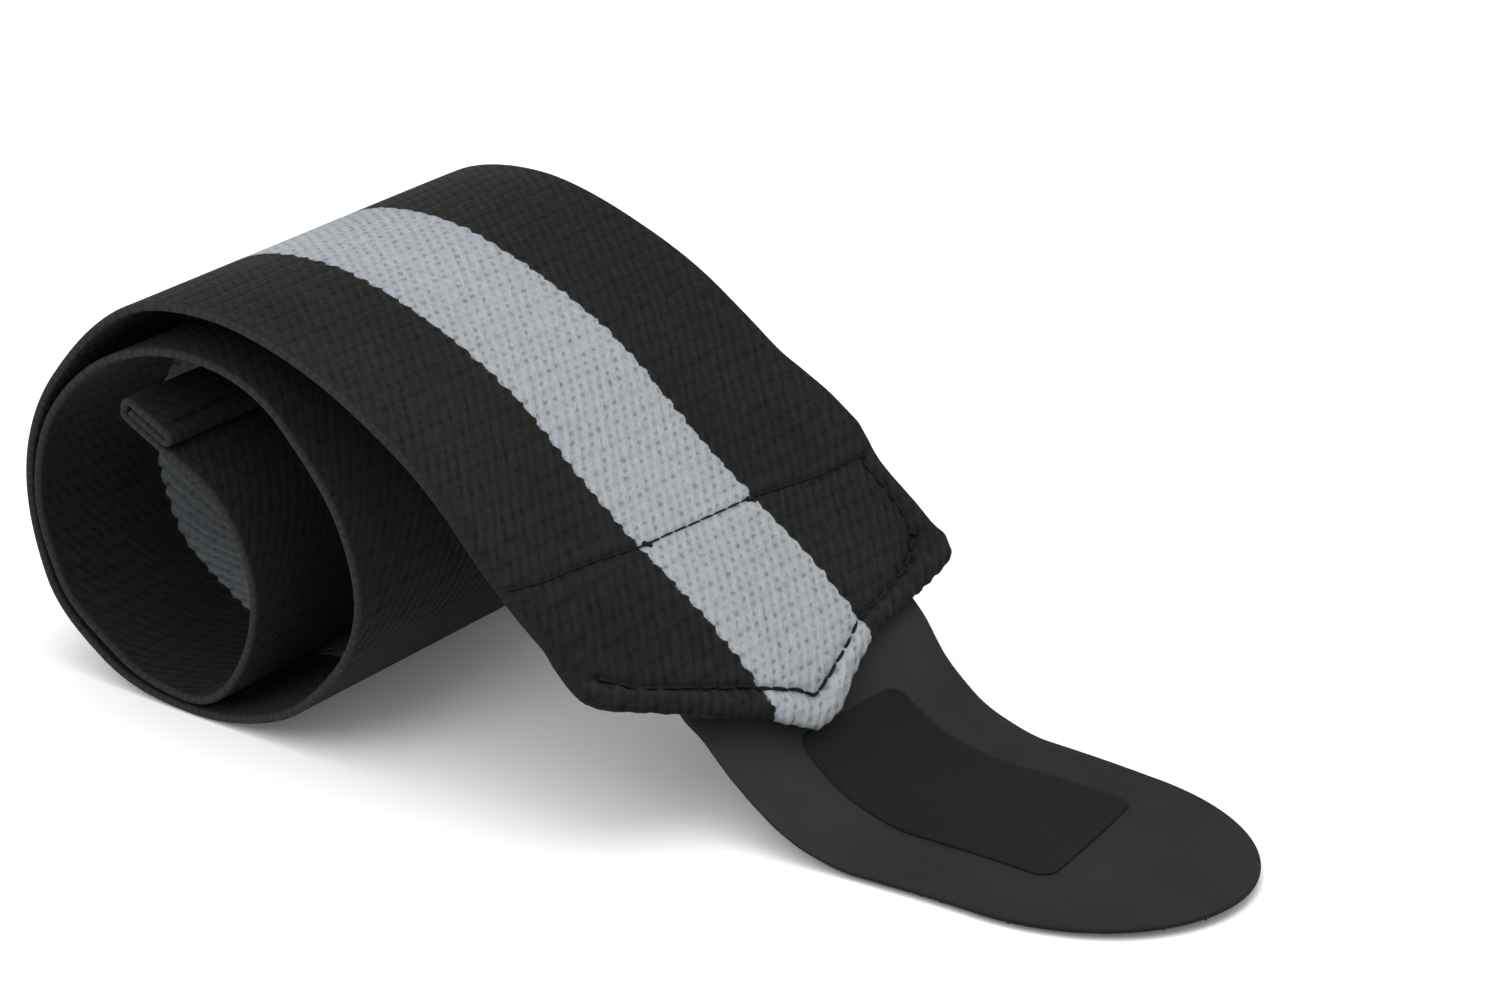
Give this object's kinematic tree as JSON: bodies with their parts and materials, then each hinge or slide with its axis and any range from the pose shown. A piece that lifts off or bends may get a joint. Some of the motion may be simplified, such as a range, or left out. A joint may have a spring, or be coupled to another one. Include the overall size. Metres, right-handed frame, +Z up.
{
  "type": "wrist wrap",
  "caption": "Rolled elastic wrist wrap with a woven stripe, a draped pointed end and a sewn hook tab lying flat.",
  "frame": {"origin": "bottom centre of the whole object's bounding box, on the surface that it lies on", "axes": "+X the way the tail drapes off the roll, +Y along the roll's axis away from the near end, +Z up"},
  "size_m": [0.19, 0.1192, 0.0666],
  "materials": {
    "woven_elastic": "matte woven rib with a light grey stripe",
    "hook_tape": "matte fine knit backing, hooks below",
    "plain_patch": "smooth matte",
    "strap_elastic": "matte narrow woven elastic"
  },
  "bodies": {
    "root": {"wrap_band": "woven_elastic", "hook_tab": "hook_tape", "blank_patch": "plain_patch", "thumb_loop": "strap_elastic"}
  },
  "joints": []
}
